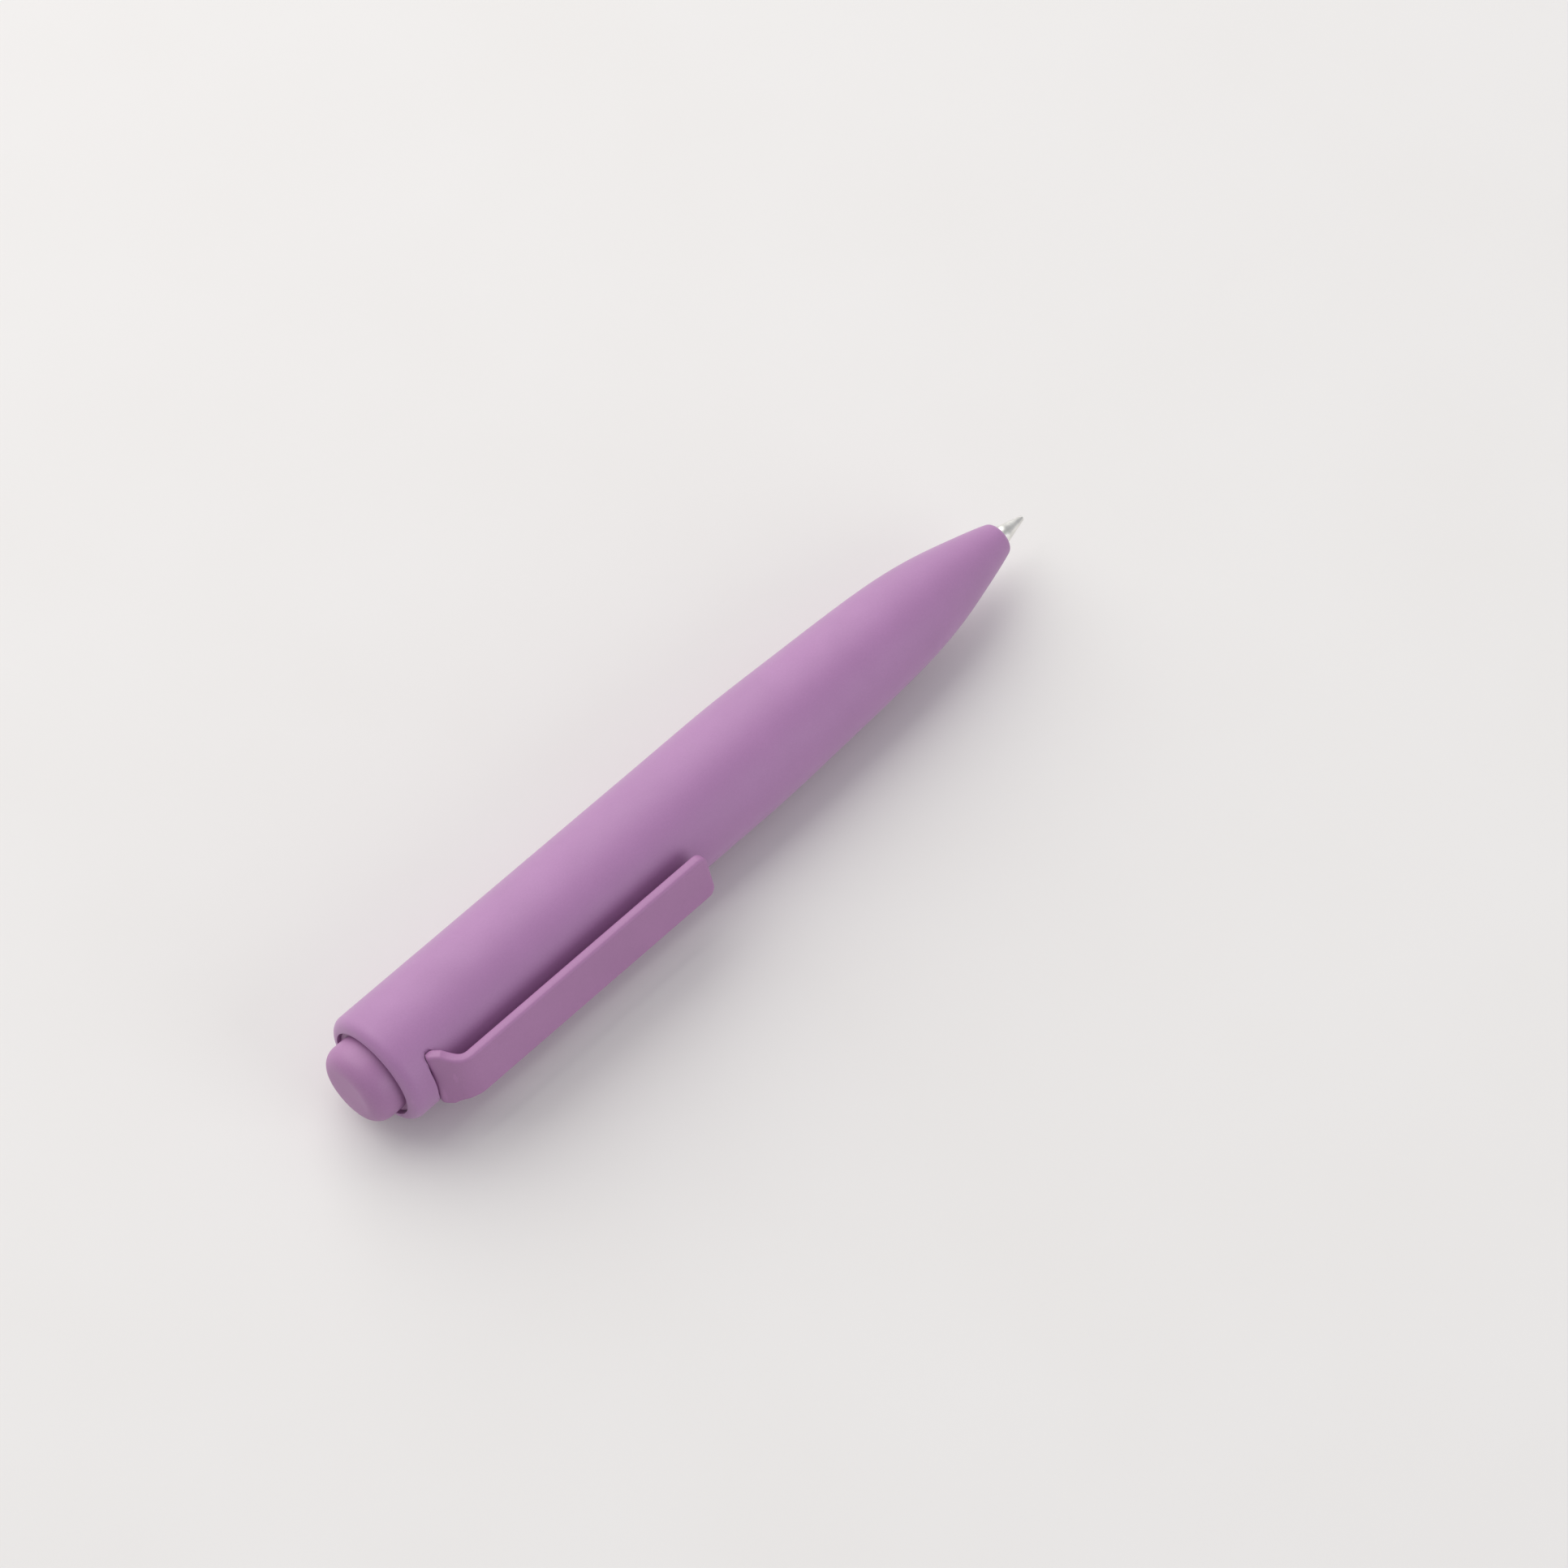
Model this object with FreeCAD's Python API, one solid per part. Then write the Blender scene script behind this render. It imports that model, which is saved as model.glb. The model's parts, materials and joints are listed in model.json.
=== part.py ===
import FreeCAD, Part
import math
import os

# A stubby click pen with a gel refill, lying on its side with the point out, ready to write.
# X runs along the pen towards the point and +Z is up. The origin is on the pen's axis, at the
# middle of the short straight stretch of barrel just ahead of the clip, where a pen loop grips.
# Sizes are millimetres.

Vector = FreeCAD.Vector

# ---- barrel, outside ----
NOSE_LENGTH = 48.0  # tapered nose, from the lip to the loop seat
SEAT_LENGTH = 8.5  # straight stretch that a pen loop grips
SEAT_RADIUS = 7.5
REAR_LENGTH = 50.6  # from the loop seat to the rear rim
REAR_SWELL = 0.12  # the barrel's radius grows this much towards the rim
LIP_ROUND = 1.0
RIM_FLAT = 0.02  # flat ring left between the rounded rim and the bore
# The nose swells along these fractions of its length and of the radius it still has to gain.
NOSE_SWELL = ((0.10, 0.265), (0.22, 0.535), (0.335, 0.705), (0.50, 0.825), (0.71, 0.915))
NOSE_SLOPE = 0.34  # radius gained per length, just behind the lip

# ---- barrel, inside ----
BARREL_WALL = 1.4  # at the loop seat
HOLE_GAP = 0.12  # between the metal point and the hole in the nose
HOLE_EDGE = 0.08  # flat ring round the hole
BUSH_WALL = 0.54
BUSH_LENGTH = 5.0
BUSH_SETBACK = 2.1  # the bush starts this far behind the lip
BUSH_GAP = 0.08  # running clearance of the point in its bush
SPRING_STEP = 8.9  # step that holds the spring's front end, behind the lip
CHAMBER_GAP = 0.35  # between the refill and the spring chamber
CHAMBER_LENGTH = 9.5
TAPER_LENGTH = 29.0  # from the spring chamber out to the main bore

# ---- clip ----
CLIP_ROLL = 16.0  # degrees that the clip stands above the horizontal
CLIP_WIDTH = 6.8
CLIP_THICK = 1.45
CLIP_GAP = 1.6  # between the clip and the widest place of the barrel
CLIP_SETBACK = 4.71  # from the rim to the middle of the clip's round root
CLIP_AHEAD = 4.0  # the free end stays this far behind the loop seat
CLIP_LEAN = 52.0  # degrees that the foot leans from the plate
CLIP_INNER_BEND = 1.8
CLIP_CORNER = 1.1  # rounded corners of the free end
CLIP_EDGE = 0.35  # rounding along the plate's outer edges
CLIP_FLARE = 1.0  # the foot widens this much each side at its root
FLARE_RADIUS = 3.0
KNUCKLE_LIFT = 0.12  # the clip's round root stays this far above the bore
SLOT_GAP = 0.07  # running clearance round the clip's root
SLOT_MOUTH = 0.22  # open gap behind the foot
SLOT_SIDE = 0.25  # open gap at each side of the foot

# ---- push button ----
BUTTON_GAP = 0.2  # between the button's skirt and the bore
BUTTON_STEP = 0.55  # the skirt is this much wider than the cap that the thumb meets
STEP_DEPTH = 0.5  # from the rim in to the step while writing
BUTTON_OUT = 3.8  # how far the button stands out of the rim while writing
BUTTON_ROUND = 2.3
BUTTON_KEPT = 1.2  # length of the button still inside the barrel when it is released
BUTTON_WALL = 1.1
BUTTON_CROWN = 2.4  # thickness of the button's end
STEM_PIN_WALL = 1.0  # of the boss, round the plunger's pressed-in end
STEM_PIN_LENGTH = 5.0

# ---- click mechanism ----
RELEASE = 5.0  # travel from the writing place back to the retracted one
OVERTRAVEL = 1.3  # how far the button still goes in
PRESS_GAP = 0.45  # left ahead of the button when it is pressed right in
CAM_TURN = 45.0  # degrees that the rotor turns over the release travel
CAM_COUNT = 4  # ribs on the rotor and lugs in the sleeve
CAM_ANGLE = 24.0  # width of each rib and lug, in degrees
CAM_GAP = 0.45  # between a rib and the lug that it rests ahead of
SLEEVE_WALL = 1.2
RIB_GAP = 0.3  # between the ribs and the sleeve
RIB_HEIGHT = 1.2  # the ribs stand this far out of the shaft
SHAFT_GAP = 0.3  # between the shaft and the lugs
ROTOR_LENGTH = 6.5
RIB_START = 1.2  # from the rotor's front face to its ribs
RIB_LENGTH = 3.3  # along the middle of a rib
LUG_LENGTH = 6.6
CROWN_TEETH = 8  # teeth that face each other on rotor and plunger
CROWN_DEPTH = 0.7
CROWN_RING = 1.1  # radial width of the ring of teeth
CROWN_GAP = 0.25
SPIGOT_INSET = 0.5  # from the ring of teeth to the tail that centres the rotor in the plunger
SPIGOT_LENGTH = 4.0
SPIGOT_GAP = 0.08
SPLINE_LENGTH = 1.5
SPLINE_SETBACK = 1.4  # from the plunger's crown to its guide splines
SPLINE_ANGLE = 16.0
SLEEVE_FRONT = 3.5  # the sleeve reaches this far ahead of the rotor
SLEEVE_FLANGE = 1.2
STOP_GAP = 0.4  # left between the splines and the flange when released
LOCK_RING = 0.7
LOCK_RING_GAP = 0.5
GUIDE_LENGTH = 4.0
GUIDE_SETBACK = 5.0  # from the sleeve's front end to the refill guide
GUIDE_CLEARANCE = 0.2

# ---- refill ----
POINT_OUT = 4.1  # how far the point stands out of the nose lip while writing
BALL_RADIUS = 0.25
BALL_HIDE = 0.12  # the cone's flat end, behind the front of the ball
SOCKET_GAP = 0.02
CONE_END_RADIUS = 0.33
CONE_LENGTH = 3.5
CONE_RADIUS = 1.18
POINT_HELD = 2.8  # length of the metal point inside its plastic holder
POINT_BORE = 0.45
CHANNEL_RADIUS = 0.15
CHANNEL_LENGTH = 0.8
HOLDER_WALL = 0.57
HOLDER_GAP = 0.9  # left ahead of the holder when the button is pressed right in
HOLDER_NECK = 6.8  # from the holder's front end to the collar that the spring pushes on
SHOULDER_LENGTH = 2.0
HOLDER_PLUG = 4.5
TUBE_RADIUS = 2.9
TUBE_WALL = 0.6
AIR_LENGTH = 8.3  # between the grease and the plug
GREASE_LENGTH = 4.0
PLUG_DEPTH = 3.0
PLUG_FLANGE = 1.5
VENT_RADIUS = 0.5

# ---- springs ----
SPRING_WIRE = 0.2  # wire radius
SPRING_GAP = 0.35  # between the wire and the tip holder
SPRING_TURNS = 8
SPRING_END_GAP = 0.05
NIB_WIRE = 0.06
NIB_GAP = 0.09  # between the fine wire and the bore of the point
NIB_TURNS = 14
NIB_LENGTH = 7.0
NIB_LEAD = 0.6  # straight end that reaches the ball
NIB_LEAD_RADIUS = 0.09

# ---- radii, worked out from the barrel inwards ----
REAR_RADIUS = SEAT_RADIUS + REAR_SWELL
BORE_RADIUS = SEAT_RADIUS - BARREL_WALL
RIM_ROUND = REAR_RADIUS - BORE_RADIUS - RIM_FLAT
SKIRT_RADIUS = BORE_RADIUS - BUTTON_GAP
BUTTON_RADIUS = SKIRT_RADIUS - BUTTON_STEP
SLEEVE_BORE = BORE_RADIUS - SLEEVE_WALL
RIB_RADIUS = SLEEVE_BORE - RIB_GAP
SHAFT_RADIUS = RIB_RADIUS - RIB_HEIGHT
LUG_RADIUS = SHAFT_RADIUS + SHAFT_GAP
STEM_PIN_RADIUS = SHAFT_RADIUS - STEM_PIN_WALL
CROWN_BORE = SHAFT_RADIUS - CROWN_RING
SPIGOT_RADIUS = CROWN_BORE - SPIGOT_INSET
CHAMBER_RADIUS = TUBE_RADIUS + CHAMBER_GAP
TUBE_BORE = TUBE_RADIUS - TUBE_WALL
HOLDER_RADIUS = CONE_RADIUS + HOLDER_WALL
SPRING_COIL = HOLDER_RADIUS + SPRING_GAP + SPRING_WIRE
NIB_COIL = POINT_BORE - NIB_GAP - NIB_WIRE
BUSH_BORE = CONE_RADIUS + BUSH_GAP
BUSH_RADIUS = BUSH_BORE + BUSH_WALL
NOSE_HOLE_RADIUS = CONE_RADIUS + HOLE_GAP
LIP_RADIUS = NOSE_HOLE_RADIUS + HOLE_EDGE

# ---- places along the pen, worked out from the rim forwards ----
NOSE_X = SEAT_LENGTH / 2 + NOSE_LENGTH
RIM_X = -SEAT_LENGTH / 2 - REAR_LENGTH
BUTTON_END_X = RIM_X - BUTTON_OUT
STEP_X = RIM_X + STEP_DEPTH
SKIRT_X = RIM_X + RELEASE + BUTTON_KEPT
LOCK_END_X = SKIRT_X + OVERTRAVEL + PRESS_GAP
SLEEVE_END_X = LOCK_END_X + LOCK_RING
FLANGE_X = SLEEVE_END_X + SLEEVE_FLANGE
SPLINE_X = FLANGE_X + STOP_GAP + RELEASE + SPLINE_LENGTH
PLUNGER_X = SPLINE_X + SPLINE_SETBACK
CROWN_X = PLUNGER_X + CROWN_GAP
ROTOR_X = CROWN_X + ROTOR_LENGTH
PLUG_X = ROTOR_X + PLUG_FLANGE
SLEEVE_START_X = ROTOR_X + SLEEVE_FRONT
PIN_END_X = SKIRT_X - STEM_PIN_LENGTH

# ---- places along the pen, worked out from the point rearwards ----
POINT_X = NOSE_X + POINT_OUT
CHAMBER_START_X = NOSE_X - SPRING_STEP
CHAMBER_END_X = CHAMBER_START_X - CHAMBER_LENGTH
MAIN_BORE_X = CHAMBER_END_X - TAPER_LENGTH
BUSH_X = NOSE_X - BUSH_SETBACK
HOLDER_X = CHAMBER_START_X - OVERTRAVEL - HOLDER_GAP
SHOULDER_X = HOLDER_X - HOLDER_NECK
POINT_END_X = HOLDER_X - POINT_HELD
TUBE_X = SHOULDER_X - SHOULDER_LENGTH
INK_X = TUBE_X - HOLDER_PLUG
AIR_X = PLUG_X + PLUG_DEPTH + AIR_LENGTH
GREASE_X = AIR_X + GREASE_LENGTH

# ---- clip, worked out ----
CLIP_TOP = REAR_RADIUS + CLIP_GAP + CLIP_THICK
CLIP_BEND = CLIP_INNER_BEND + CLIP_THICK
CLIP_END_X = -SEAT_LENGTH / 2 - CLIP_AHEAD
KNUCKLE_RADIUS = CLIP_THICK / 2
KNUCKLE_HALF_WIDTH = CLIP_WIDTH / 2 + CLIP_FLARE
LEAN = math.radians(CLIP_LEAN)
# Centre of the clip's round root, in the clip's own frame.
ROOT = Vector(RIM_X + CLIP_SETBACK, 0, BORE_RADIUS + KNUCKLE_LIFT + KNUCKLE_RADIUS)
FOOT_FALL = CLIP_TOP - KNUCKLE_RADIUS - ROOT.z
CLIP_BEND_X = ROOT.x + FOOT_FALL / math.tan(LEAN) - KNUCKLE_RADIUS * math.tan(LEAN / 2)

AXIS_START = Vector(0, 0, 0)
AXIS_ALONG = Vector(1, 0, 0)
PAST = 1.0  # cutting bodies run this far past what they cut


def at(x, radius):
    """A point of a turned outline: x along the pen, radius from its axis."""
    return Vector(x, 0, radius)


def turned(edges):
    """The solid that a closed outline makes when it turns about the pen's axis."""
    face = Part.Face(Part.Wire(Part.__sortEdges__(edges)))
    return face.revolve(AXIS_START, AXIS_ALONG, 360)


def turned_points(points):
    """A turned solid whose outline has straight sides. points are (x, radius)."""
    corners = [at(x, radius) for x, radius in points]
    wire = Part.makePolygon(corners + corners[:1])
    return Part.Face(wire).revolve(AXIS_START, AXIS_ALONG, 360)


def rod(x_from, x_to, radius):
    low = min(x_from, x_to)
    return Part.makeCylinder(radius, abs(x_to - x_from), at(low, 0), AXIS_ALONG)


def tube(x_from, x_to, radius, bore):
    low = min(x_from, x_to)
    length = abs(x_to - x_from)
    hole = Part.makeCylinder(bore, length + 2 * PAST, at(low - PAST, 0), AXIS_ALONG)
    return rod(x_from, x_to, radius).cut(hole)


def line(start, end):
    return Part.LineSegment(start, end).toShape()


def arc(start, middle, end):
    return Part.Arc(start, middle, end).toShape()


def polar(centre_x, centre_radius, radius, degrees):
    """A point of a circle in the outline's plane. 0 degrees points along +X."""
    angle = math.radians(degrees)
    return at(centre_x + radius * math.cos(angle), centre_radius + radius * math.sin(angle))


def turn_about_axis(shape, degrees):
    turned_shape = shape.copy()
    turned_shape.rotate(AXIS_START, AXIS_ALONG, degrees)
    return turned_shape


def clip_place(shape):
    """From the clip's own frame, where +Z points out of the barrel, to its place on the pen."""
    return turn_about_axis(shape, 90.0 - CLIP_ROLL)


def only_solid(shape):
    """The one solid of a shape that was cut or joined, with its needless seams removed."""
    solids = shape.removeSplitter().Solids
    if len(solids) != 1:
        raise ValueError("expected one solid, found %d" % len(solids))
    return solids[0]


def sector(x_from, x_to, inner, outer, middle, width):
    """A block between two radii, centred on an angle about the pen's axis. 0 degrees is up."""
    low = min(x_from, x_to)
    length = abs(x_to - x_from)
    piece = Part.makeCylinder(outer, length, at(low, 0), AXIS_ALONG, width)
    core = Part.makeCylinder(inner, length + 2 * PAST, at(low - PAST, 0), AXIS_ALONG)
    block = piece.cut(core)
    weight = block.Solids[0].CenterOfMass
    now = math.degrees(math.atan2(-weight.y, weight.z))
    return turn_about_axis(block, middle - now)


def beyond_slope(x_middle, middle, slope, towards_point):
    """A big block on one side of a sloped plane, which crosses x_middle at the angle given.

    The plane climbs towards the point as the angle about the axis grows.
    """
    reach = 3 * RIB_RADIUS
    rise = reach * slope
    far = x_middle + (2 * reach + rise) * (1 if towards_point else -1)
    corners = [
        Vector(x_middle + rise, -reach, 0),
        Vector(x_middle - rise, reach, 0),
        Vector(far, reach, 0),
        Vector(far, -reach, 0),
    ]
    face = Part.Face(Part.makePolygon(corners + corners[:1]))
    return turn_about_axis(face.extrude(Vector(0, 0, reach)), middle)


def cam_slope():
    """Travel along the pen per millimetre round it, at the middle of the ribs' working faces."""
    mean_radius = (LUG_RADIUS + RIB_RADIUS) / 2
    return RELEASE / (math.radians(CAM_TURN) * mean_radius)


def cam_angles(first):
    return [first + index * 360.0 / CAM_COUNT for index in range(CAM_COUNT)]


def crown(x_root, towards_point):
    """A ring of sloped teeth that stand on the end of a shaft."""
    width = 360.0 / CROWN_TEETH
    mean_radius = (CROWN_BORE + SHAFT_RADIUS) / 2
    slope = CROWN_DEPTH / (mean_radius * math.radians(width))
    step = CROWN_DEPTH if towards_point else -CROWN_DEPTH
    teeth = []
    for index in range(CROWN_TEETH):
        middle = index * width
        block = sector(x_root - step, x_root + step, CROWN_BORE, SHAFT_RADIUS, middle, width)
        cutter = beyond_slope(x_root + step / 2, middle, slope, towards_point)
        teeth.append(block.cut(cutter))
    return teeth


def coil(x_from, x_to, coil_radius, wire_radius, turns):
    """A round-wire helix along the pen's axis, from one place to another."""
    low = min(x_from, x_to)
    length = abs(x_to - x_from) - 2 * wire_radius
    helix = Part.makeHelix(length / turns, length, coil_radius)
    spine = Part.Wire(helix.Edges)
    circle = Part.Circle(Vector(coil_radius, 0, 0), Vector(0, 1, 0), wire_radius)
    section = Part.Wire(circle.toShape())
    body = spine.makePipeShell([section], True, True)
    body.rotate(AXIS_START, Vector(0, 1, 0), 90)
    body.translate(at(low + wire_radius, 0))
    return body


# ---------------- barrel ----------------


def nose_edges():
    """The lip's flat ring, its rounding, and the nose that swells to the loop seat."""
    steep = math.degrees(math.atan(1.0 / NOSE_SLOPE))
    lip_centre_x = NOSE_X - LIP_ROUND
    lip_start = at(NOSE_X, LIP_RADIUS)
    lip_end = polar(lip_centre_x, LIP_RADIUS, LIP_ROUND, steep)
    length = lip_end.x - SEAT_LENGTH / 2
    gain = SEAT_RADIUS - lip_end.z
    points = [lip_end]
    for along, share in NOSE_SWELL:
        points.append(at(lip_end.x - along * length, lip_end.z + share * gain))
    points.append(at(SEAT_LENGTH / 2, SEAT_RADIUS))
    swell = Part.BSplineCurve()
    leaving = Vector(-1, 0, NOSE_SLOPE)
    swell.interpolate(Points=points, InitialTangent=leaving, FinalTangent=Vector(-1, 0, 0))
    return [
        line(at(NOSE_X, NOSE_HOLE_RADIUS), lip_start),
        arc(lip_start, polar(lip_centre_x, LIP_RADIUS, LIP_ROUND, steep / 2), lip_end),
        swell.toShape(),
    ]


def barrel():
    """One moulded shell from the nose lip to the rear rim, bored from the rear."""
    shoulder_x = RIM_X + RIM_ROUND
    shoulder_radius = REAR_RADIUS - RIM_ROUND
    seat_rear = at(-SEAT_LENGTH / 2, SEAT_RADIUS)
    shoulder_start = at(shoulder_x, REAR_RADIUS)
    shoulder_end = at(RIM_X, shoulder_radius)
    inside = [
        shoulder_end,
        at(RIM_X, BORE_RADIUS),
        at(MAIN_BORE_X, BORE_RADIUS),
        at(CHAMBER_END_X, CHAMBER_RADIUS),
        at(CHAMBER_START_X, CHAMBER_RADIUS),
        at(CHAMBER_START_X, BUSH_RADIUS),
        at(BUSH_X, BUSH_RADIUS),
        at(BUSH_X, NOSE_HOLE_RADIUS),
        at(NOSE_X, NOSE_HOLE_RADIUS),
    ]
    edges = nose_edges()
    edges.append(line(at(SEAT_LENGTH / 2, SEAT_RADIUS), seat_rear))
    edges.append(line(seat_rear, shoulder_start))
    shoulder_middle = polar(shoulder_x, shoulder_radius, RIM_ROUND, 135)
    edges.append(arc(shoulder_start, shoulder_middle, shoulder_end))
    for start, end in zip(inside, inside[1:]):
        edges.append(line(start, end))
    return only_solid(turned(edges).cut(clip_place(clip_slot())))


def nose_bush():
    """Hard bush that guides the metal point inside the nose."""
    return tube(BUSH_X, BUSH_X - BUSH_LENGTH, BUSH_RADIUS, BUSH_BORE)


# ---------------- clip ----------------


def clip_side():
    """Side view of the clip: plate, bend and foot, down to the middle of its round root."""
    up = Vector(0, 0, 1)
    half_turned = Vector(-math.sin(LEAN / 2), 0, math.cos(LEAN / 2))
    rearward = Vector(-math.sin(LEAN), 0, math.cos(LEAN))
    centre = Vector(CLIP_BEND_X + CLIP_BEND * math.tan(LEAN / 2), 0, CLIP_TOP - CLIP_BEND)
    end_low = Vector(CLIP_END_X, 0, CLIP_TOP - CLIP_THICK)
    end_high = Vector(CLIP_END_X, 0, CLIP_TOP)
    outer_root = ROOT + rearward * KNUCKLE_RADIUS
    inner_root = ROOT - rearward * KNUCKLE_RADIUS
    edges = [
        line(end_low, end_high),
        line(end_high, centre + up * CLIP_BEND),
        arc(centre + up * CLIP_BEND, centre + half_turned * CLIP_BEND,
            centre + rearward * CLIP_BEND),
        line(centre + rearward * CLIP_BEND, outer_root),
        line(outer_root, inner_root),
        line(inner_root, centre + rearward * CLIP_INNER_BEND),
        arc(centre + rearward * CLIP_INNER_BEND, centre + half_turned * CLIP_INNER_BEND,
            centre + up * CLIP_INNER_BEND),
        line(centre + up * CLIP_INNER_BEND, end_low),
    ]
    face = Part.Face(Part.Wire(Part.__sortEdges__(edges)))
    half_width = KNUCKLE_HALF_WIDTH + PAST
    face.translate(Vector(0, -half_width, 0))
    return face.extrude(Vector(0, 2 * half_width, 0))


def clip_plan():
    """The clip seen from outside: straight sides, rounded free end and a foot that flares."""
    half = CLIP_WIDTH / 2
    rear_x = ROOT.x - PAST
    flare_end_x = ROOT.x + KNUCKLE_RADIUS
    run = math.sqrt(FLARE_RADIUS ** 2 - (FLARE_RADIUS - CLIP_FLARE) ** 2)
    mid_rise = FLARE_RADIUS - math.sqrt(FLARE_RADIUS ** 2 - (run / 2) ** 2)
    corner_x = CLIP_END_X - CLIP_CORNER
    corner_y = half - CLIP_CORNER
    slant = CLIP_CORNER * math.sqrt(0.5)
    edges = []
    for side in (1, -1):
        flare_end = Vector(flare_end_x, side * KNUCKLE_HALF_WIDTH, 0)
        flare_middle = Vector(flare_end_x + run / 2, side * (half + mid_rise), 0)
        flare_start = Vector(flare_end_x + run, side * half, 0)
        corner_start = Vector(corner_x, side * half, 0)
        corner_middle = Vector(corner_x + slant, side * (corner_y + slant), 0)
        corner_end = Vector(CLIP_END_X, side * corner_y, 0)
        rear_corner = Vector(rear_x, side * KNUCKLE_HALF_WIDTH, 0)
        edges.append(line(Vector(rear_x, 0, 0), rear_corner))
        edges.append(line(rear_corner, flare_end))
        edges.append(arc(flare_end, flare_middle, flare_start))
        edges.append(line(flare_start, corner_start))
        edges.append(arc(corner_start, corner_middle, corner_end))
        edges.append(line(corner_end, Vector(CLIP_END_X, 0, 0)))
    face = Part.Face(Part.Wire(Part.__sortEdges__(edges)))
    face.translate(Vector(0, 0, ROOT.z - PAST))
    return face.extrude(Vector(0, 0, CLIP_TOP - ROOT.z + 2 * PAST))


def knuckle(radius, half_width):
    start = ROOT - Vector(0, half_width, 0)
    return Part.makeCylinder(radius, 2 * half_width, start, Vector(0, 1, 0))


def plate_edges(shape):
    """The edges round the two broad faces of the clip's straight plate."""
    bend_end_x = CLIP_BEND_X + CLIP_BEND
    boxes = [(edge, edge.BoundBox) for edge in shape.Edges]
    return [edge for edge, box in boxes if box.XMax > bend_end_x and box.ZLength < CLIP_EDGE]


def clip():
    """Flat clip with a bent foot that ends in a round root, in the slot of the barrel."""
    blank = clip_side().common(clip_plan())
    plate = blank.makeFillet(CLIP_EDGE, plate_edges(blank))
    return clip_place(only_solid(plate.fuse(knuckle(KNUCKLE_RADIUS, KNUCKLE_HALF_WIDTH))))


def clip_slot():
    """Cut-out in the barrel's wall for the clip's root, with room for the foot to swing."""
    half_width = KNUCKLE_HALF_WIDTH + SLOT_SIDE
    reach = KNUCKLE_RADIUS + SLOT_GAP
    start = ROOT - Vector(0, half_width, 0)
    rearward = Vector(-math.sin(LEAN), 0, math.cos(LEAN)) * reach
    up_foot = Vector(math.cos(LEAN), 0, math.sin(LEAN)) * CLIP_TOP
    behind = Vector(-reach - SLOT_MOUTH, 0, 0)
    up = Vector(0, 0, CLIP_TOP)
    along_foot = [
        start + rearward,
        start - rearward,
        start - rearward + up_foot,
        start + rearward + up_foot,
    ]
    behind_foot = [start, start + behind, start + behind + up, start + up]
    slot = knuckle(reach, half_width)
    for corners in (along_foot, behind_foot):
        face = Part.Face(Part.makePolygon(corners + corners[:1]))
        slot = slot.fuse(face.extrude(Vector(0, 2 * half_width, 0)))
    return slot


# ---------------- click mechanism ----------------


def push_button():
    """Hollow button: a cap with a rounded edge, a wider skirt and a boss for the plunger."""
    flat_radius = BUTTON_RADIUS - BUTTON_ROUND
    round_x = BUTTON_END_X + BUTTON_ROUND
    roof_x = BUTTON_END_X + BUTTON_CROWN
    inner = BUTTON_RADIUS - BUTTON_WALL
    corners = [
        at(STEP_X, BUTTON_RADIUS),
        at(STEP_X, SKIRT_RADIUS),
        at(SKIRT_X, SKIRT_RADIUS),
        at(SKIRT_X, inner),
        at(roof_x, inner),
        at(roof_x, SHAFT_RADIUS),
        at(SKIRT_X, SHAFT_RADIUS),
        at(SKIRT_X, STEM_PIN_RADIUS),
        at(PIN_END_X, STEM_PIN_RADIUS),
        at(PIN_END_X, 0),
        at(BUTTON_END_X, 0),
        at(BUTTON_END_X, flat_radius),
    ]
    edges = [line(start, end) for start, end in zip(corners, corners[1:])]
    edge_middle = polar(round_x, flat_radius, BUTTON_ROUND, 135)
    edge_end = at(round_x, BUTTON_RADIUS)
    edges.append(arc(corners[-1], edge_middle, edge_end))
    edges.append(line(edge_end, corners[0]))
    return turned(edges)


def plunger():
    """Stem that the button pushes, with teeth on its front end and four guide splines."""
    body = rod(PLUNGER_X - CROWN_DEPTH, SKIRT_X, SHAFT_RADIUS)
    body = body.fuse(rod(SKIRT_X, PIN_END_X, STEM_PIN_RADIUS))
    body = body.fuse(crown(PLUNGER_X - CROWN_DEPTH, True))
    for middle in cam_angles(180.0 / CAM_COUNT):
        spline = sector(SPLINE_X, SPLINE_X - SPLINE_LENGTH, LUG_RADIUS - CAM_GAP, RIB_RADIUS,
                        middle, SPLINE_ANGLE)
        body = body.fuse(spline)
    depth_x = CROWN_X - SPIGOT_LENGTH - PAST
    body = body.cut(rod(PLUNGER_X + PAST, depth_x, SPIGOT_RADIUS + SPIGOT_GAP))
    return only_solid(body)


def rotor():
    """Turning cam: four ribs with sloped rear ends, teeth behind them and a centring tail."""
    teeth_root_x = CROWN_X + CROWN_DEPTH
    rib_start_x = ROTOR_X - RIB_START
    rib_end_x = rib_start_x - RIB_LENGTH
    body = rod(ROTOR_X, teeth_root_x, SHAFT_RADIUS)
    body = body.fuse(crown(teeth_root_x, False))
    body = body.fuse(rod(teeth_root_x, CROWN_X - SPIGOT_LENGTH, SPIGOT_RADIUS))
    for middle in cam_angles(0):
        rib = sector(rib_start_x, rib_end_x - RIB_LENGTH, LUG_RADIUS - CAM_GAP, RIB_RADIUS,
                     middle, CAM_ANGLE)
        body = body.fuse(rib.cut(beyond_slope(rib_end_x, middle, cam_slope(), False)))
    return only_solid(body)


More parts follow.
